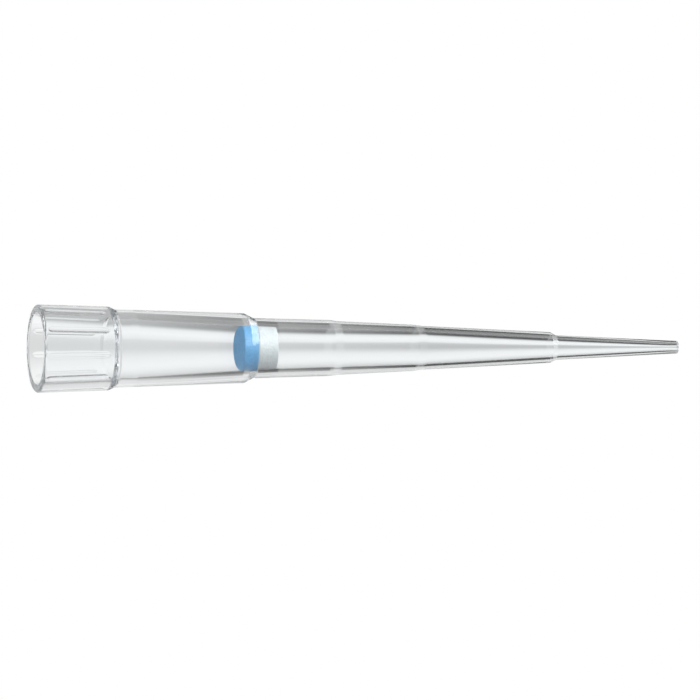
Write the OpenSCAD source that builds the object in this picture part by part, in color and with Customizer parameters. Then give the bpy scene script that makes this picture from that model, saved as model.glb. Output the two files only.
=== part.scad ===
// Filter pipette tip of the 100 to 200 microlitre class, standing on its mouth.
// One moulded polypropylene body: a collar with fine ribs along its bore, the land
// that grips the pipette's nozzle, a tube, and a cone that narrows in fine steps.
// A two-layer porous filter plug is pressed into the bore's taper at the tube's end.
// A station (a name ending in _at) is a height above the mouth's rim. The
// words upper and lower are those of the tip in use, with its point down.

/* [Overall] */
// Length from the mouth to the point
tip_len = 55; // [50:0.5:66]

/* [Socket] */
// Diameter of the straight land that grips the nozzle
socket_d = 4.9; // [4.5:0.05:5.9]
// Length of that land
socket_len = 2; // [1.5:0.1:3]
// Distance from the collar's lower edge down to the land's start
socket_lead = 0.15; // [0:0.05:0.4]
// Length of the bore's slope into the land
socket_slope = 0.25; // [0.15:0.05:0.5]
// How far that slope narrows the bore on each side
socket_step = 0.2; // [0.15:0.01:0.3]
// How much further the collar's bore widens on each side up to the mouth
mouth_flare = 0.3; // [0.1:0.01:0.4]

/* [Ribs] */
// Number of ribs along the collar's bore
rib_count = 9; // [6:1:12]
// Radius of a rib's crest
rib_r = 0.3; // [0.2:0.01:0.4]
// How far a rib stands out of the wall
rib_h = 0.08; // [0.05:0.01:0.13]
// Stations of a rib's two ends
rib_from = 0.5; // [0.3:0.1:2]
rib_to = 5.5; // [4:0.1:5.7]

/* [Collar] */
// Wall at the mouth
rim_wall = 0.7; // [0.5:0.05:0.9]
// Wall at the collar's lower edge, reckoned from the land
collar_wall = 1.02; // [0.9:0.01:1.1]
// Length of the collar down to its lower edge
collar_len = 6.1; // [5:0.1:7.4]
// Length of the slope from that edge down to the tube
collar_slope = 0.5; // [0.3:0.05:0.8]
// Rounding of the collar's lower edge
collar_edge_r = 0.8; // [0.2:0.05:1]
// Hollow rounding at the foot of that slope
collar_foot_r = 0.4; // [0.1:0.05:0.6]
// Rounding of the mouth rim, outside
rim_outer_r = 0.2; // [0.05:0.05:0.3]
// Rounding of the mouth rim, inside
rim_inner_r = 0.15; // [0.05:0.05:0.2]

/* [Tube] */
// Wall just below the collar
tube_top_wall = 0.78; // [0.65:0.01:0.8]
// Wall at the tube's lower edge, round the filter
tube_end_wall = 0.96; // [0.8:0.02:1.1]
// Station of the tube's lower edge
tube_end_at = 17.6; // [14.5:0.1:21.2]
// Length of the slope from that edge down to the neck
tube_slope = 0.8; // [0.5:0.05:1.2]
// Rounding of the tube's lower edge
tube_edge_r = 0.4; // [0.1:0.05:0.6]
// Hollow rounding where that slope meets the neck
tube_foot_r = 0.3; // [0.1:0.05:0.4]

/* [Filter] */
// Diameter of the plug's blue face, as it sits in the bore
filter_d = 3.86; // [3.2:0.02:4.64]
// Length of the plug
filter_len = 3; // [2.5:0.1:3.6]
// Length of its blue layer, which faces the mouth
blue_len = 1.15; // [0.6:0.05:1.8]
// Distance from its blue face down to the tube's lower edge
filter_lead = 0.45; // [0.2:0.05:0.8]
// Radial clearance of the plug in the bore
filter_fit = 0.01; // [0:0.005:0.03]
// Rounding of the plug's outer edges
filter_edge_r = 0.12; // [0.05:0.01:0.2]
// How far the bore's upper cone runs on past the plug
seat_margin = 0.15; // [0.05:0.05:0.4]

/* [Cones] */
// Wall at the top of the neck
neck_wall = 0.56; // [0.4:0.01:0.7]
// How much the neck's outer diameter falls along it
neck_fall = 0.34; // [0.1:0.02:0.5]
// Length of the neck, from the tube's slope to the first mark
neck_len = 6.7; // [5:0.1:8]
// Length of the upper cone, from the first mark to the second
upper_len = 7.3; // [6:0.1:8.8]
// Outer diameter at the second mark, and the wall there
second_mark_d = 3.84; // [3.5:0.02:4.2]
second_mark_wall = 0.49; // [0.35:0.01:0.6]
// Outer diameter at the third mark, and the wall there
third_mark_d = 2.58; // [2.4:0.02:2.8]
third_mark_wall = 0.46; // [0.3:0.01:0.5]
// Height of the fine steps at the first and second marks
mark_step = 0.1; // [0.05:0.01:0.15]
// Length of their slopes
mark_slope = 0.4; // [0.25:0.05:0.45]
// Rounding of their corners, so that the steps run out smooth
mark_r = 0.6; // [0.2:0.1:0.8]

/* [Point] */
// Length of the fine point, below the third mark
point_len = 11.1; // [9.2:0.1:13.4]
// Length of the step at its top
point_slope = 0.5; // [0.3:0.05:0.8]
// Rounding of that step's corners, inside and outside
step_r = 0.2; // [0.05:0.05:0.25]
// Outer diameter at its top, and the wall there
point_top_d = 2.06; // [1.9:0.01:2.2]
point_top_wall = 0.28; // [0.2:0.01:0.4]
// Diameter of the orifice
orifice_d = 0.56; // [0.4:0.01:0.6]
// Length of the orifice's straight land
orifice_len = 0.8; // [0.5:0.1:1.5]
// Wall round the orifice
point_wall = 0.25; // [0.15:0.01:0.35]
// Rounding of the end's outer edge
point_edge_r = 0.1; // [0.03:0.01:0.15]

/* [Hidden] */
$fn = 96;

// stations
socket_at = collar_len + socket_lead;
socket_end_at = socket_at + socket_len;
filter_at = tube_end_at - filter_lead;
filter_end_at = filter_at + filter_len;
first_mark_at = tube_end_at + tube_slope + neck_len;
second_mark_at = first_mark_at + upper_len;
third_mark_at = tip_len - point_len;

// radii of the bore, from which the walls are reckoned outwards
socket_r = socket_d / 2;
collar_bore_r = socket_r + socket_step;
mouth_bore_r = collar_bore_r + mouth_flare;
seat_r = filter_d / 2 + filter_fit;
bore_taper = (socket_r - seat_r) / (filter_at - socket_end_at);
neck_r = seat_r + neck_wall;
neck_end_r = neck_r - neck_fall / 2;

// How far the bore's upper cone has narrowed, a distance past the plug's blue face
function narrowed(past) = bore_taper * past;

// An outline is a list of corners [radius, station, rounding], anticlockwise.
function point(p) = [p[0], p[1]];
function unit(v) = v / norm(v);
function to_last(path, i) = unit(point(path[(i + len(path) - 1) % len(path)]) - point(path[i]));
function to_next(path, i) = unit(point(path[(i + 1) % len(path)]) - point(path[i]));
function half_angle(path, i) = acos(to_last(path, i) * to_next(path, i)) / 2;
function is_hollow(path, i) = cross(to_last(path, i), to_next(path, i)) > 0;
// the centre of the arc that rounds corner i, and where it meets the two sides
function arc_centre(path, i) =
    point(path[i]) + unit(to_last(path, i) + to_next(path, i)) * path[i][2] / sin(half_angle(path, i));
function tangent_points(path, i) = [
    for (side = [to_last(path, i), to_next(path, i)])
        point(path[i]) + side * path[i][2] / tan(half_angle(path, i))
];

// The wall's section: along the outside from the mouth to the point, and back down the bore.
wall = [
    [mouth_bore_r, 0, rim_inner_r],
    [mouth_bore_r + rim_wall, 0, rim_outer_r],
    [socket_r + collar_wall, collar_len, collar_edge_r],
    [socket_r + tube_top_wall, collar_len + collar_slope, collar_foot_r],
    [seat_r + tube_end_wall, tube_end_at, tube_edge_r],
    [neck_r, tube_end_at + tube_slope, tube_foot_r],
    [neck_end_r, first_mark_at, mark_r],
    [neck_end_r - mark_step, first_mark_at + mark_slope, mark_r],
    [second_mark_d / 2, second_mark_at, mark_r],
    [second_mark_d / 2 - mark_step, second_mark_at + mark_slope, mark_r],
    [third_mark_d / 2, third_mark_at, step_r],
    [point_top_d / 2, third_mark_at + point_slope, step_r],
    [orifice_d / 2 + point_wall, tip_len, point_edge_r],
    [orifice_d / 2, tip_len, 0],
    [orifice_d / 2, tip_len - orifice_len, 0],
    [point_top_d / 2 - point_top_wall, third_mark_at + point_slope, step_r],
    [third_mark_d / 2 - third_mark_wall, third_mark_at, step_r],
    [second_mark_d / 2 - second_mark_wall, second_mark_at, 0],
    [seat_r - narrowed(filter_len + seat_margin), filter_end_at + seat_margin, 0],
    [socket_r, socket_end_at, 0],
    [socket_r, socket_at, 0],
    [collar_bore_r, socket_at - socket_slope, 0],
];

module corner_disc(path, i) {
    translate(arc_centre(path, i))
        circle(path[i][2]);
}

// What rounding takes off a full corner, with some to spare outside it.
module corner_waste(path, i) {
    corner = point(path[i]);
    ends = tangent_points(path, i);
    difference() {
        polygon([ends[0], corner + (corner - arc_centre(path, i)) / 4, ends[1]]);
        corner_disc(path, i);
    }
}

// A hollow corner is first filled straight across and then scooped out round.
module rounded_outline(path) {
    corners = [for (i = [0:len(path) - 1]) if (path[i][2] > 0) i];
    difference() {
        polygon([
            for (i = [0:len(path) - 1])
                each path[i][2] > 0 && is_hollow(path, i) ? tangent_points(path, i) : [point(path[i])]
        ]);
        for (i = corners) {
            if (is_hollow(path, i))
                corner_disc(path, i);
            else
                corner_waste(path, i);
        }
    }
}

// Turns an outline round the tip's axis.
module turned(path) {
    rotate_extrude()
        rounded_outline(path);
}

// A round bar with domed ends, sunk into the wall of the collar's bore but for its crest.
module rib() {
    lean = atan(mouth_flare / (socket_at - socket_slope));
    from = rib_from + rib_r;
    len = (rib_to - rib_from - 2 * rib_r) / cos(lean);
    translate([mouth_bore_r - from * tan(lean) + (rib_r - rib_h) / cos(lean), 0, from])
        rotate([0, -lean, 0]) {
            cylinder(r = rib_r, h = len);
            sphere(rib_r);
            translate([0, 0, len])
                sphere(rib_r);
        }
}

module tip_body() {
    color([0.93, 0.95, 0.95, 0.4]) {
        turned(wall);
        for (i = [0:rib_count - 1])
            rotate(i * 360 / rib_count)
                rib();
    }
}

// One layer of the plug, tapered as the bore is and rounded where it ends the plug.
module filter_layer(from, to, from_r, to_r) {
    turned([
        [0, from, 0],
        [filter_d / 2 - narrowed(from - filter_at), from, from_r],
        [filter_d / 2 - narrowed(to - filter_at), to, to_r],
        [0, to, 0],
    ]);
}

module filter_blue_layer() {
    color([0.36, 0.6, 0.76])
        filter_layer(filter_at, filter_at + blue_len, filter_edge_r, 0);
}

module filter_white_layer() {
    color([0.93, 0.96, 0.95])
        filter_layer(filter_at + blue_len, filter_end_at, 0, filter_edge_r);
}

tip_body();
filter_blue_layer();
filter_white_layer();
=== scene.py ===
# A clear filter pipette tip, standing on its mouth on a pale floor.
import math

import bpy
import bmesh
from mathutils import Matrix, Vector, noise


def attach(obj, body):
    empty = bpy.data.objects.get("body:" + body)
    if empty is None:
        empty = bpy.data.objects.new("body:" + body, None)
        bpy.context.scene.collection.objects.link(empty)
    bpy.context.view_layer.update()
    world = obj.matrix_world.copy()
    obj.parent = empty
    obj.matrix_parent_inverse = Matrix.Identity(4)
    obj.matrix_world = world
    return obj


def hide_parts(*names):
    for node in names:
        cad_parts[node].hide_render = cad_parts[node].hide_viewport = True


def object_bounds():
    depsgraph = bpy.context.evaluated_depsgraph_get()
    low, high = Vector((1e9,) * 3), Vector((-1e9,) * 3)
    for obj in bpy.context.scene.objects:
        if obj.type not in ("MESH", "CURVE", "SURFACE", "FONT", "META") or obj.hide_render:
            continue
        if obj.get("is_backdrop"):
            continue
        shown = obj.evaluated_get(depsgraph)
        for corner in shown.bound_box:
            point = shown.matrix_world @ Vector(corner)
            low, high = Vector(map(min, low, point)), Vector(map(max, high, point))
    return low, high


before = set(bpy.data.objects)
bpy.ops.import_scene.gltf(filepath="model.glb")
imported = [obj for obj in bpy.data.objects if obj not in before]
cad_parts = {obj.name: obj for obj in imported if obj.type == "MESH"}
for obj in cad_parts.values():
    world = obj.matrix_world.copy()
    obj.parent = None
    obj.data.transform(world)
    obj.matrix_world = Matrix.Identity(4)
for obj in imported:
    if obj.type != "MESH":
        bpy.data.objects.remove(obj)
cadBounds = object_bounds()
scene = bpy.context.scene
mm = 0.001


def say(words):
    print("tip:", words)


def plain(value):  # vectors and tuples as lists of numbers
    if hasattr(value, "__len__"):
        return [plain(v) for v in value]
    return round(float(value), 6)


# helpers for nodes and objects

def feed(tree, socket, value):  # a link from a socket, or a plain value
    if isinstance(value, bpy.types.NodeSocket):
        tree.links.new(value, socket)
    else:
        socket.default_value = value


def setInputs(tree, node, values):
    for key, value in values.items():
        feed(tree, node.inputs[key], value)


def addNode(tree, kind, inputs=None, **settings):
    node = tree.nodes.new(kind)
    for name, value in settings.items():
        setattr(node, name, value)
    setInputs(tree, node, inputs or {})
    return node


def calc(tree, operation, *values):
    node = addNode(tree, "ShaderNodeMath", dict(enumerate(values)), operation=operation)
    return node.outputs[0]


def splitXyz(tree, vector):
    return addNode(tree, "ShaderNodeSeparateXYZ", {0: vector}).outputs


def mapRange(tree, value, low, high, toLow=0.0, toHigh=1.0, kind="LINEAR"):
    return addNode(tree, "ShaderNodeMapRange", {
        "Value": value, "From Min": low, "From Max": high, "To Min": toLow, "To Max": toHigh,
    }, interpolation_type=kind).outputs[0]


def mixShaders(tree, share, one, two):
    return addNode(tree, "ShaderNodeMixShader", {0: share, 1: one, 2: two}).outputs[0]


def transparent(tree, colour=(1, 1, 1)):
    return addNode(tree, "ShaderNodeBsdfTransparent", {"Color": (*colour, 1)}).outputs[0]


def newMaterial(name):
    material = bpy.data.materials.new(name)
    material.use_nodes = True
    return material, material.node_tree


def newGroup(name, kind, inputs, outputs):
    tree = bpy.data.node_groups.new(name, kind)
    for label, socketType, value in inputs:
        socket = tree.interface.new_socket(label, in_out="INPUT", socket_type=socketType)
        if value is not None:
            socket.default_value = value
    for label, socketType in outputs:
        tree.interface.new_socket(label, in_out="OUTPUT", socket_type=socketType)
    return tree, addNode(tree, "NodeGroupInput"), addNode(tree, "NodeGroupOutput")


def place(name, data):
    item = bpy.data.objects.new(name, data)
    scene.collection.objects.link(item)
    return item


def placeBuild(name, build, material):  # a bmesh becomes an object of one material
    mesh = bpy.data.meshes.new(name)
    build.to_mesh(mesh)
    build.free()
    mesh.materials.append(material)
    return place(name, mesh)


# outline of the wall

body = {  # sizes in mm; a corner is (radius, station, rounding)
    "outside": [
        (3.65, 0, 0.2), (3.47, 6.1, 0.8), (3.23, 6.6, 0.4), (2.9, 17.6, 0.4), (2.5, 18.4, 0.3),
        (2.33, 24.95, 1.2), (2.23, 25.65, 1.2), (1.92, 32.25, 1.2), (1.82, 32.95, 1.2),
        (1.29, 43.9, 0.2), (1.03, 44.4, 0.2), (0.53, 55, 0.1),
    ],
    "bore": [  # its last run, down to the mouth, carries the ribs
        (0.28, 55, 0.03), (0.28, 54.2, 0.1), (0.75, 44.4, 0.2), (0.83, 43.9, 0.2),
        (1.43, 32.4, 0.3), (1.758, 20.3, 0.2), (2.45, 8.25, 0.3), (2.45, 6.25, 0.06),
        (2.65, 6, 0.06), (2.95, 0, 0.15),
    ],
    "boreLimit": 3.1,      # on the collar, what lies nearer the axis than this is bore
    "arcSteps": 7,
    "support": 0.03,       # how near a corner the straight runs get their first ring
    "runStep": 1.5,
    "around": 306,
    "ribs": 9,
    "ribRadius": 0.3,
    "ribHeight": 0.08,
    "ribEnds": (0.5, 5.5),
    "ribRunOut": 0.5,      # below 1 the ends fade out over a longer way
    "ribFoot": 0.06,       # how softly the foot meets the wall
    "ribMargin": 0.3,      # how far past a rib's upper end its foot may still run
    "ribRings": 8,         # rings on each side of a rib's end
    "ribRingStep": 0.03,
    "bunching": 0.72,      # how strongly the mesh gathers at the ribs, 0 to 1
    "sharpAbove": 40,      # degrees, past which an edge isn't smoothed
}


def roundOff(corners, steps):
    # every corner becomes an arc of its own rounding, tangent to its two sides
    out = []
    for i, (r, s, rounding) in enumerate(corners):
        here = Vector((r, s))
        a = (Vector(corners[i - 1][:2]) - here).normalized()
        b = (Vector(corners[(i + 1) % len(corners)][:2]) - here).normalized()
        half = a.angle(b) / 2
        centre = here + (a + b).normalized() * rounding / math.sin(half)
        start = here + a * rounding / math.tan(half) - centre
        end = here + b * rounding / math.tan(half) - centre
        turn = start.angle_signed(end)
        for k in range(steps + 1):
            t = -turn * k / steps
            c, w = math.cos(t), math.sin(t)
            out.append(centre + Vector((start.x * c - start.y * w, start.x * w + start.y * c)))
    return out


def fillRuns(points):
    # long straight runs get support rings at both ends and even rings between
    arc, support = body["arcSteps"] + 1, body["support"]
    ribbedRun = len(points) - arc - 1
    out = []
    for i, p in enumerate(points):
        out.append(p)
        q = points[(i + 1) % len(points)]
        length = (q - p).length
        if (i + 1) % arc or length < 3 * support:
            continue
        marks = [support, length - support]
        count = math.ceil(length / body["runStep"])
        marks += [length * k / count for k in range(1, count)]
        if i == ribbedRun:
            near = range(-body["ribRings"], body["ribRings"] + 1)
            for end in body["ribEnds"]:
                marks += [p.y - end + k * body["ribRingStep"] for k in near]
        for m in sorted(set(round(m, 4) for m in marks)):
            if support <= m <= length - support:
                out.append(p + (q - p) * m / length)
    return out


def sectionObject(name):
    points = fillRuns(roundOff(body["outside"] + body["bore"], body["arcSteps"]))
    count = len(points)
    mesh = bpy.data.meshes.new(name)
    mesh.from_pydata([(p.x * mm, p.y * mm, 0) for p in points],
                     [(i, (i + 1) % count) for i in range(count)], [])
    return place(name, mesh)


# turned wall, with ribs by formula

def turnedTree():
    tree, start, end = newGroup("turnedWall", "GeometryNodeTree", [
        ("Geometry", "NodeSocketGeometry", None),
        ("Around", "NodeSocketInt", 360),
        ("Ribs", "NodeSocketInt", 9),
        ("Rib Radius", "NodeSocketFloat", 0.0002),
        ("Rib Height", "NodeSocketFloat", 0.0001),
        ("Rib From", "NodeSocketFloat", 0.0005),
        ("Rib To", "NodeSocketFloat", 0.005),
        ("Run Out", "NodeSocketFloat", 1.0),
        ("Rib Foot", "NodeSocketFloat", 0.00006),
        ("Rib Margin", "NodeSocketFloat", 0.0003),
        ("Bore Limit", "NodeSocketFloat", 0.0031),
        ("Bunching", "NodeSocketFloat", 0.7),
        ("Sharp Above", "NodeSocketFloat", 0.6),
        ("Material", "NodeSocketMaterial", None),
    ], [("Geometry", "NodeSocketGeometry")])
    have = start.outputs

    def do(operation, *values):
        return calc(tree, operation, *values)

    # the section keeps its radius and station
    curve = addNode(tree, "GeometryNodeMeshToCurve", {"Mesh": have["Geometry"]})
    keepSection = addNode(tree, "GeometryNodeCaptureAttribute")
    keepSection.capture_items.new("VECTOR", "Section")
    position = addNode(tree, "GeometryNodeInputPosition")
    setInputs(tree, keepSection, {0: curve.outputs[0], 1: position.outputs[0]})

    # the circle keeps its direction, with its points gathered at the ribs
    circle = addNode(tree, "GeometryNodeCurvePrimitiveCircle",
                     {"Resolution": have["Around"], "Radius": 1.0}, mode="RADIUS")
    step = do("DIVIDE", addNode(tree, "GeometryNodeInputIndex").outputs[0], have["Around"])
    even = do("MULTIPLY", step, 2 * math.pi)
    ripple = do("DIVIDE", do("SINE", do("MULTIPLY", even, have["Ribs"])), have["Ribs"])
    angle = do("SUBTRACT", even, do("MULTIPLY", ripple, have["Bunching"]))
    keepAngle = addNode(tree, "GeometryNodeCaptureAttribute")
    keepAngle.capture_items.new("FLOAT", "Angle")
    setInputs(tree, keepAngle, {0: circle.outputs[0], 1: angle})

    sweep = addNode(tree, "GeometryNodeCurveToMesh", {
        "Curve": keepAngle.outputs[0], "Profile Curve": keepSection.outputs[0],
    })
    radius, station = splitXyz(tree, keepSection.outputs[1])[:2]
    around = keepAngle.outputs[1]

    # distance across the nearest rib, and past the centre of its domed end
    turn = do("MULTIPLY", do("DIVIDE", around, 2 * math.pi), have["Ribs"])
    away = do("MULTIPLY", do("SUBTRACT", turn, do("ROUND", turn)), 2 * math.pi)
    across = do("MULTIPLY", do("DIVIDE", away, have["Ribs"]), radius)
    before = do("SUBTRACT", do("ADD", have["Rib From"], have["Rib Radius"]), station)
    after = do("SUBTRACT", station, do("SUBTRACT", have["Rib To"], have["Rib Radius"]))
    past = do("MAXIMUM", do("MAXIMUM", before, after), 0.0)
    past = do("MULTIPLY", past, have["Run Out"])
    spread = do("ADD", do("POWER", do("ABSOLUTE", across), 2.0), do("POWER", past, 2.0))

    # a bar's round crest, with its foot eased into the wall
    room = do("SUBTRACT", do("POWER", have["Rib Radius"], 2.0), spread)
    rise = do("SQRT", do("MAXIMUM", room, 0.0))
    crest = do("SUBTRACT", rise, do("SUBTRACT", have["Rib Radius"], have["Rib Height"]))
    lift = do("SMOOTH_MAX", crest, 0.0, have["Rib Foot"])
    inBore = do("LESS_THAN", radius, have["Bore Limit"])
    onCollar = do("LESS_THAN", station, do("ADD", have["Rib To"], have["Rib Margin"]))
    lift = do("MULTIPLY", do("MULTIPLY", lift, inBore), onCollar)
    reach = do("SUBTRACT", radius, lift)
    spot = addNode(tree, "ShaderNodeCombineXYZ", {
        "X": do("MULTIPLY", reach, do("COSINE", around)),
        "Y": do("MULTIPLY", reach, do("SINE", around)),
        "Z": station,
    })
    put = addNode(tree, "GeometryNodeSetPosition", {
        "Geometry": sweep.outputs[0], "Position": spot.outputs[0],
    })

    smooth = addNode(tree, "GeometryNodeSetShadeSmooth", {0: put.outputs[0]}, domain="FACE")
    bend = addNode(tree, "FunctionNodeCompare", {
        0: addNode(tree, "GeometryNodeInputMeshEdgeAngle").outputs[0], 1: have["Sharp Above"],
    }, data_type="FLOAT", operation="GREATER_THAN")
    crease = addNode(tree, "GeometryNodeSetShadeSmooth", {
        "Geometry": smooth.outputs[0], "Selection": bend.outputs[0], "Shade Smooth": False,
    }, domain="EDGE")
    real = addNode(tree, "GeometryNodeRealizeInstances", {0: crease.outputs[0]})
    paint = addNode(tree, "GeometryNodeSetMaterial", {
        "Geometry": real.outputs[0], "Material": have["Material"],
    })
    feed(tree, end.inputs[0], paint.outputs[0])
    return tree


def bake(item, tree, values, name):
    # runs the tree on the object and gives back a plain mesh object
    modifier = item.modifiers.new("build", "NODES")
    modifier.node_group = tree
    ids = {s.name: s.identifier for s in tree.interface.items_tree if s.in_out == "INPUT"}
    for label, value in values.items():
        modifier[ids[label]] = value
    bpy.context.view_layer.update()
    result = item.evaluated_get(bpy.context.evaluated_depsgraph_get())
    mesh = bpy.data.meshes.new_from_object(result)
    item.modifiers.remove(modifier)
    bpy.data.objects.remove(item)
    mesh.name = name
    return place(name, mesh)


def faceOutward(item):
    # turns the shell if its volume comes out negative
    build = bmesh.new()
    build.from_mesh(item.data)
    if build.calc_volume(signed=True) < 0:
        bmesh.ops.reverse_faces(build, faces=build.faces)
    openEdges = sum(1 for edge in build.edges if len(edge.link_faces) != 2)
    triangles = sum(len(face.verts) - 2 for face in build.faces)
    say("%s: %d triangles, volume %.1f mm3, %d open edges" % (
        item.name, triangles, build.calc_volume() / mm ** 3, openEdges))
    build.to_mesh(item.data)
    build.free()


# clear polypropylene

clear = {
    "colour": (0.97, 0.985, 0.99),
    "refraction": 1.49,
    "roughness": 0.02,
    "letsThrough": 0.93,
    "leak": (0.6, 0.63, 0.65),
    "leakFrom": 4,         # bounces, past which trapped light begins to find its way out
    "leakAll": 12,
    "bounces": 40,         # light runs a long way inside the clear wall
    "mirrorBounces": 20,
}


def clearPlastic():
    material, tree = newMaterial("clearPolypropylene")
    skin = tree.nodes["Principled BSDF"]
    setInputs(tree, skin, {
        "Base Color": (*clear["colour"], 1),
        "Transmission Weight": 1,
        "IOR": clear["refraction"],
        "Roughness": clear["roughness"],
    })
    path = addNode(tree, "ShaderNodeLightPath").outputs
    trapped = mapRange(tree, path["Ray Depth"], clear["leakFrom"], clear["leakAll"])
    wall = mixShaders(tree, trapped, skin.outputs[0], transparent(tree, clear["leak"]))
    # lamps and soft light reach the plug and the floor through the wall
    soft = calc(tree, "MAXIMUM", path["Is Shadow Ray"], path["Is Diffuse Ray"])
    wall = mixShaders(tree, soft, wall, transparent(tree, [clear["letsThrough"]] * 3))
    feed(tree, tree.nodes["Material Output"].inputs["Surface"], wall)
    return material


tip = bake(sectionObject("section"), turnedTree(), {
    "Around": body["around"],
    "Ribs": body["ribs"],
    "Rib Radius": body["ribRadius"] * mm,
    "Rib Height": body["ribHeight"] * mm,
    "Rib From": body["ribEnds"][0] * mm,
    "Rib To": body["ribEnds"][1] * mm,
    "Run Out": body["ribRunOut"],
    "Rib Foot": body["ribFoot"] * mm,
    "Rib Margin": body["ribMargin"] * mm,
    "Bore Limit": body["boreLimit"] * mm,
    "Bunching": body["bunching"],
    "Sharp Above": math.radians(body["sharpAbove"]),
    "Material": clearPlastic(),
}, "tipWall")
faceOutward(tip)
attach(tip, "root")
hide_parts("tip_body")
say("wall turned")


# porous filter plug

plug = {  # sizes in mm
    "radius": 1.93,        # at the blue face
    "taper": 0.0575,       # how much it narrows, per mm
    "from": 17.15,
    "join": 18.3,
    "to": 20.15,
    "edge": 0.12,
    "edgeSteps": 6,
    "around": 160,
    "endRings": 14,
    "sideRings": 12,
    "joinWave": 0.05,
    "joinGrain": 1.1,      # waves of the join, per mm
    "joinSeed": 3.7,
    "lean": 0.003,         # how far it sits off the axis, towards -X
    "rough": 0.003,        # how far single grains stand out of its side
    "roughGrain": 6,       # grains per mm
}

sintered = {
    "blue": (0.09, 0.37, 0.7),
    "white": (0.65, 0.71, 0.73),
    # the two pore levels are painted shade, darkening the pores of each layer
    "bluePoreShade": 0.16,     # painted shade in the pores
    "whitePoreShade": 0.08,
    "poreRange": (0.25, 0.75),
    "grainsPerMetre": 6000.0,
    "grainSoftness": 0.4,
    "cloudSize": 0.25,     # clouds per grain
    "cloudDetail": 3,
    "cloudDepth": 0.3,
    "cloudBase": 0.85,
    "bump": 0.3,
    "bumpHeight": 0.00005,
    "gloss": 0.9,
    "sideRoughness": 0.52,
    "endRoughness": 0.85,
    "sideToEnd": (0.3, 0.9),
}


def grainGroup():
    # fused grains, high in their middles and low in the pores between them; porous() paints shade
    # into those pores
    tree, start, end = newGroup("sinteredGrain", "ShaderNodeTree", [
        ("Vector", "NodeSocketVector", None),
        ("Grains Per Metre", "NodeSocketFloat", sintered["grainsPerMetre"]),
    ], [("Grain", "NodeSocketFloat"), ("Tone", "NodeSocketFloat")])
    vector, grains = start.outputs["Vector"], start.outputs["Grains Per Metre"]
    cells = addNode(tree, "ShaderNodeTexVoronoi", feature="SMOOTH_F1")
    setInputs(tree, cells, {
        "Vector": vector, "Scale": grains, "Smoothness": sintered["grainSoftness"],
    })
    cloud = addNode(tree, "ShaderNodeTexNoise", {
        "Vector": vector,
        "Scale": calc(tree, "MULTIPLY", grains, sintered["cloudSize"]),
        "Detail": sintered["cloudDetail"],
    })
    setInputs(tree, end, {
        "Grain": calc(tree, "SUBTRACT", 1.0, cells.outputs["Distance"]),
        "Tone": cloud.outputs["Fac"],
    })
    return tree


sinteredGrain = grainGroup()


def porous(name, colour, poreShade):
    material, tree = newMaterial(name)
    where = addNode(tree, "ShaderNodeTexCoord").outputs
    grain = addNode(tree, "ShaderNodeGroup", node_tree=sinteredGrain)
    feed(tree, grain.inputs["Vector"], where["Object"])
    # painted shade: the pores between the grains are darker than the grains
    shade = mapRange(tree, grain.outputs["Grain"], *sintered["poreRange"], 1 - poreShade, 1)
    drift = calc(tree, "MULTIPLY_ADD", grain.outputs["Tone"],
                 sintered["cloudDepth"], sintered["cloudBase"])
    tint = addNode(tree, "ShaderNodeMix", data_type="RGBA", blend_type="MULTIPLY")
    setInputs(tree, tint, {0: 1, 6: (*colour, 1), 7: calc(tree, "MULTIPLY", shade, drift)})
    bump = addNode(tree, "ShaderNodeBump", {
        "Strength": sintered["bump"],
        "Distance": sintered["bumpHeight"],
        "Height": grain.outputs["Grain"],
    })
    # the side is pressed smooth by the bore, the ends keep their grain
    facing = calc(tree, "ABSOLUTE", splitXyz(tree, where["Normal"])[2])
    setInputs(tree, tree.nodes["Principled BSDF"], {
        "Base Color": tint.outputs[2],
        "Normal": bump.outputs[0],
        "Roughness": mapRange(tree, facing, *sintered["sideToEnd"],
                              sintered["sideRoughness"], sintered["endRoughness"]),
        "Specular IOR Level": sintered["gloss"],
    })
    return material


def blueFace(x, y):
    return plug["from"]


def whiteFace(x, y):
    return plug["to"]


def joinFace(x, y):  # the uneven face where the two layers fused
    grain = plug["joinGrain"]
    wave = noise.noise(Vector((x * grain, y * grain, plug["joinSeed"])))
    return plug["join"] + plug["joinWave"] * wave


def layerSpine(roundLow, roundHigh):
    # (share of the radius, inset, height, part), from the middle of one end, over the
    # side, to the middle of the other; part 0 is the low end, 1 the side, 2 the high end
    rings, edge = plug["endRings"], plug["edge"]
    arc = [math.pi / 2 / plug["edgeSteps"] * k for k in range(plug["edgeSteps"] + 1)]
    spine = [(k / rings, 0.0, 0.0, 0) for k in range(1, rings)]
    if roundLow:
        spine += [(1, edge * (1 - math.sin(a)), edge * (1 - math.cos(a)), 0) for a in arc]
    else:
        spine += [(1, 0.0, 0.0, 0)]
    spine += [(1, 0.0, t / plug["sideRings"], 1) for t in range(2, plug["sideRings"] - 1)]
    if roundHigh:
        spine += [(1, edge * (1 - math.cos(a)), edge * (math.sin(a) - 1), 2) for a in arc]
    else:
        spine += [(1, 0.0, 0.0, 2)]
    return spine + [(k / rings, 0.0, 0.0, 2) for k in range(rings - 1, 0, -1)]


def layerRing(low, high, share, inset, height, part):
    ring = []
    for k in range(plug["around"]):
        a = 2 * math.pi * k / plug["around"]
        r = plug["radius"] * share
        bottom, top = low(r * math.cos(a), r * math.sin(a)), high(r * math.cos(a), r * math.sin(a))
        z = (bottom + height, bottom + (top - bottom) * height, top + height)[part]
        r = (plug["radius"] - plug["taper"] * (z - plug["from"])) * share - inset
        x, y = r * math.cos(a), r * math.sin(a)
        if share == 1:
            grain = noise.noise(Vector((x, y, z)) * plug["roughGrain"]) * plug["rough"]
            x, y = x * (1 + grain / r), y * (1 + grain / r)
        ring.append(((x - plug["lean"]) * mm, y * mm, z * mm))
    return ring


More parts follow.
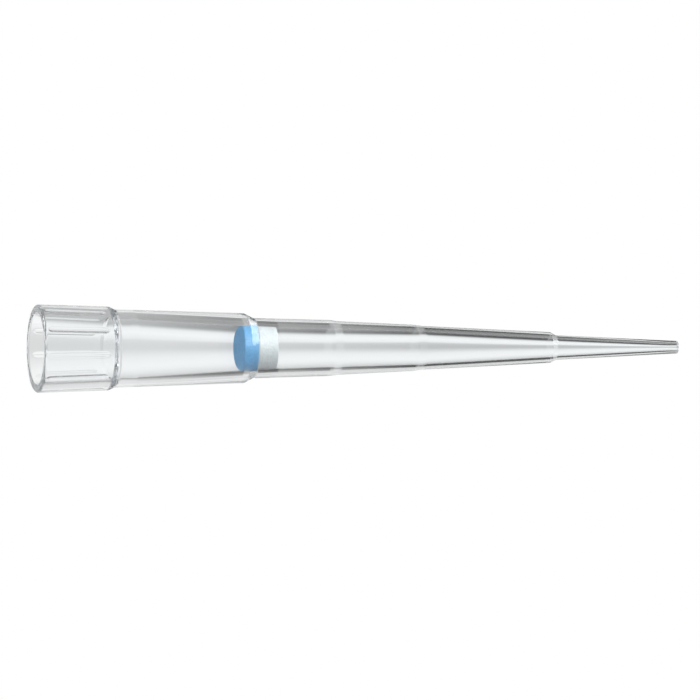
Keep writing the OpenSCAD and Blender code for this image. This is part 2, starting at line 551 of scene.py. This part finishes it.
def filterLayer(name, low, high, roundLow, roundHigh, material):
    build = bmesh.new()
    rings = [[build.verts.new(spot) for spot in layerRing(low, high, *row)]
             for row in layerSpine(roundLow, roundHigh)]
    around = plug["around"]
    for one, two in zip(rings, rings[1:]):
        for k in range(around):
            n = (k + 1) % around
            build.faces.new((one[k], one[n], two[n], two[k]))
    for ring, face in ((rings[0], low), (rings[-1], high)):
        middle = build.verts.new((-plug["lean"] * mm, 0, face(0, 0) * mm))
        for k in range(around):
            build.faces.new((ring[k], ring[(k + 1) % around], middle))
    bmesh.ops.recalc_face_normals(build, faces=build.faces)
    item = placeBuild(name, build, material)
    item.data.polygons.foreach_set("use_smooth", [True] * len(item.data.polygons))
    return item


bluePorous = porous("blueSintered", sintered["blue"], sintered["bluePoreShade"])
whitePorous = porous("whiteSintered", sintered["white"], sintered["whitePoreShade"])
blueLayer = filterLayer("filterBlue", blueFace, joinFace, True, False, bluePorous)
whiteLayer = filterLayer("filterWhite", joinFace, whiteFace, False, True, whitePorous)
for layer, node, slot in (
    (blueLayer, "filter_blue_layer", "blue_filter"),
    (whiteLayer, "filter_white_layer", "white_filter"),
):
    faceOutward(layer)
    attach(layer, "root")
    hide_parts(node)
say("filter plug made")


# light tent, which is what the clear wall shows

tent = {  # sizes in metres
    "radius": 0.12,
    "height": 0.30,
    "sides": 180,
    # (azimuth from straight behind in degrees, level low down, level high up)
    "stops": [
        (-180, 0.7, 0.7), (-150, 0.8, 0.8), (-100, 0.85, 0.85), (-78, 0.8, 0.7),
        (-70, 0.4, 0.04), (-55, 0.4, 0.03), (-50, 0.7, 0.03), (-42, 0.8, 0.06),
        (-36, 0.82, 0.72), (-24, 0.82, 0.76), (-18, 0.88, 0.86), (-12, 0.96, 0.96),
        (-8, 0.98, 0.98), (-3.5, 0.92, 0.92), (0, 0.72, 0.54), (2.5, 0.72, 0.54),
        (4, 0.9, 0.93), (7, 1, 1), (11, 0.95, 0.9), (14, 0.7, 0.36), (16.5, 0.5, 0.06),
        (20, 0.47, 0.02), (34, 0.47, 0.04), (42, 0.48, 0.22), (60, 0.48, 0.3),
        (90, 0.6, 0.6), (150, 0.6, 0.6), (180, 0.7, 0.7),
    ],
    "lowAt": 0.043,
    "highAt": 0.063,
    # a bright slanted strip up on one side, which only the tube's step reflects
    "panel": 12.0,
    "panelAt": 104,        # its azimuth
    "panelSpan": 56,       # half its width in degrees
    "panelFade": 0.3,      # how softly its ends fade
    "panelMiddle": 0.208,  # its height there
    "panelSlant": 0.09,    # how much it rises per radian of azimuth
    "panelHalf": 0.019,    # half its height
    "panelSoft": 0.006,    # how softly its long edges fade
}


def levelRamp(tree, factor, column):
    ramp = addNode(tree, "ShaderNodeValToRGB", {0: factor})
    stops = ramp.color_ramp.elements
    while len(stops) > 1:
        stops.remove(stops[-1])
    for i, stop in enumerate(tent["stops"]):
        share = (stop[0] + 180) / 360
        element = stops[0] if i == 0 else stops.new(share)
        element.position = share
        element.color = (stop[column],) * 3 + (1,)
    return ramp.outputs[0]


def panelShare(tree, azimuth, height):
    aside = calc(tree, "SUBTRACT", azimuth, math.radians(tent["panelAt"]))
    edge, fade = math.cos(math.radians(tent["panelSpan"])), tent["panelFade"]
    sideways = mapRange(tree, calc(tree, "COSINE", aside), edge - fade, edge + fade,
                        kind="SMOOTHSTEP")
    middle = calc(tree, "MULTIPLY_ADD", aside, tent["panelSlant"], tent["panelMiddle"])
    off = calc(tree, "ABSOLUTE", calc(tree, "SUBTRACT", height, middle))
    half, soft = tent["panelHalf"], tent["panelSoft"]
    upright = mapRange(tree, off, half + soft, half - soft, kind="SMOOTHSTEP")
    return calc(tree, "MULTIPLY", sideways, upright)


def tentMaterial():
    material, tree = newMaterial("lightTent")
    tree.nodes.clear()
    where = addNode(tree, "ShaderNodeTexCoord").outputs["Object"]
    x, y, z = splitXyz(tree, where)
    azimuth = calc(tree, "ARCTAN2", calc(tree, "MULTIPLY", x, -1.0), y)
    factor = calc(tree, "ADD", calc(tree, "DIVIDE", azimuth, 2 * math.pi), 0.5)
    level = addNode(tree, "ShaderNodeMix", data_type="RGBA")
    setInputs(tree, level, {
        0: mapRange(tree, z, tent["lowAt"], tent["highAt"]),
        6: levelRamp(tree, factor, 1),
        7: levelRamp(tree, factor, 2),
    })
    path = addNode(tree, "ShaderNodeLightPath").outputs
    inside = calc(tree, "MULTIPLY", panelShare(tree, azimuth, z), path["Is Glossy Ray"])
    glow = addNode(tree, "ShaderNodeEmission", {
        "Color": level.outputs[2],
        "Strength": calc(tree, "MULTIPLY_ADD", inside, tent["panel"], 1.0),
    })
    seen = calc(tree, "MAXIMUM", path["Is Glossy Ray"], path["Is Transmission Ray"])
    shader = mixShaders(tree, seen, transparent(tree), glow.outputs[0])
    addNode(tree, "ShaderNodeOutputMaterial", {"Surface": shader})
    material.cycles.emission_sampling = "NONE"
    return material


def makeTent():
    build = bmesh.new()
    bmesh.ops.create_cone(build, cap_ends=False, segments=tent["sides"],
                          radius1=tent["radius"], radius2=tent["radius"], depth=tent["height"])
    bmesh.ops.translate(build, verts=build.verts, vec=(0, 0, tent["height"] / 2))
    placeBuild("lightTent", build, tentMaterial())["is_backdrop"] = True


# floor, world and lamps

floor = {
    "size": 3.0,
    "colour": (0.9, 0.9, 0.9),
    "roughness": 0.9,
    "gloss": 0.1,
}


def floorMaterial():  # clear from below, where the camera stands
    material, tree = newMaterial("paleFloor")
    skin = tree.nodes["Principled BSDF"]
    setInputs(tree, skin, {
        "Base Color": (*floor["colour"], 1),
        "Roughness": floor["roughness"],
        "Specular IOR Level": floor["gloss"],
    })
    below = addNode(tree, "ShaderNodeNewGeometry").outputs["Backfacing"]
    shader = mixShaders(tree, below, skin.outputs[0], transparent(tree))
    feed(tree, tree.nodes["Material Output"].inputs["Surface"], shader)
    return material


def makeFloor():
    build = bmesh.new()
    half = floor["size"] / 2
    build.faces.new([build.verts.new((x * half, y * half, 0))
                     for x, y in ((-1, -1), (1, -1), (1, 1), (-1, 1))])
    placeBuild("floor", build, floorMaterial())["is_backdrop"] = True


studio = {
    "fill": 0.08,          # the world's light on dull surfaces
    "backdrop": 1,         # and as it is seen, straight or in gloss and glass
    "lamps": {             # (place and size in metres, watts)
        "softBox": ((-0.26, -0.08, 0.34), 0.34, 1.4),
        "softKey": ((-0.23, -0.38, 0.20), 0.3, 1.9),
    },
    "lampAim": (0, 0, 0.02),
}


def makeWorld():
    world = bpy.data.worlds.new("studio")
    scene.world = world
    world.use_nodes = True
    tree = world.node_tree
    tree.nodes.clear()
    path = addNode(tree, "ShaderNodeLightPath").outputs
    dull, white = [
        addNode(tree, "ShaderNodeBackground", {"Color": (1, 1, 1, 1), "Strength": studio[level]})
        for level in ("fill", "backdrop")
    ]
    seen = calc(tree, "MAXIMUM", path["Is Camera Ray"], path["Is Glossy Ray"])
    seen = calc(tree, "MAXIMUM", seen, path["Is Transmission Ray"])
    shader = mixShaders(tree, seen, dull.outputs[0], white.outputs[0])
    addNode(tree, "ShaderNodeOutputWorld", {"Surface": shader})


def makeLamps():
    for name, (spot, size, power) in studio["lamps"].items():
        data = bpy.data.lights.new(name, "AREA")
        data.size = size
        data.energy = power
        lamp = place(name, data)
        lamp.location = spot
        aim = Vector(studio["lampAim"]) - Vector(spot)
        lamp.rotation_euler = aim.to_track_quat("-Z", "Y").to_euler()


makeTent()
makeFloor()
makeWorld()
makeLamps()
say("studio made")


# camera, below the mouth's level and turned a quarter, so that the tip lies across the view

view = {
    "rise": -14.5,         # degrees; the mouth turns a little towards the viewer
    "distance": 0.9,
    "width": 0.05809,      # what the frame is wide at the tip
    "along": 0.02671,
    "across": -0.000170,
    "roll": 0.13,
    "sensor": 36,
    "farthest": 10,
}


def makeCamera():
    data = bpy.data.cameras.new("camera")
    camera = place("camera", data)
    rise = math.radians(view["rise"])
    forward = Vector((0, math.cos(rise), -math.sin(rise)))
    right = (Vector((0, 0, 1)) - forward * forward.z).normalized()
    up = right.cross(forward).normalized()
    turn = Matrix((right, up, -forward)).transposed().to_4x4()
    turn = turn @ Matrix.Rotation(math.radians(-view["roll"]), 4, "Z")
    look = Vector((0, 0, view["along"])) + up * view["across"]
    data.sensor_width = view["sensor"]
    data.lens = view["sensor"] * view["distance"] / view["width"]
    data.clip_end = view["farthest"]
    camera.matrix_world = Matrix.Translation(look - forward * view["distance"]) @ turn
    scene.camera = camera


makeCamera()
scene.view_settings.view_transform = "Standard"
scene.cycles.max_bounces = clear["bounces"]
scene.cycles.transmission_bounces = clear["bounces"]
scene.cycles.glossy_bounces = clear["mirrorBounces"]

{"cad": plain(cadBounds), "visual": plain(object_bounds())}
say("done")
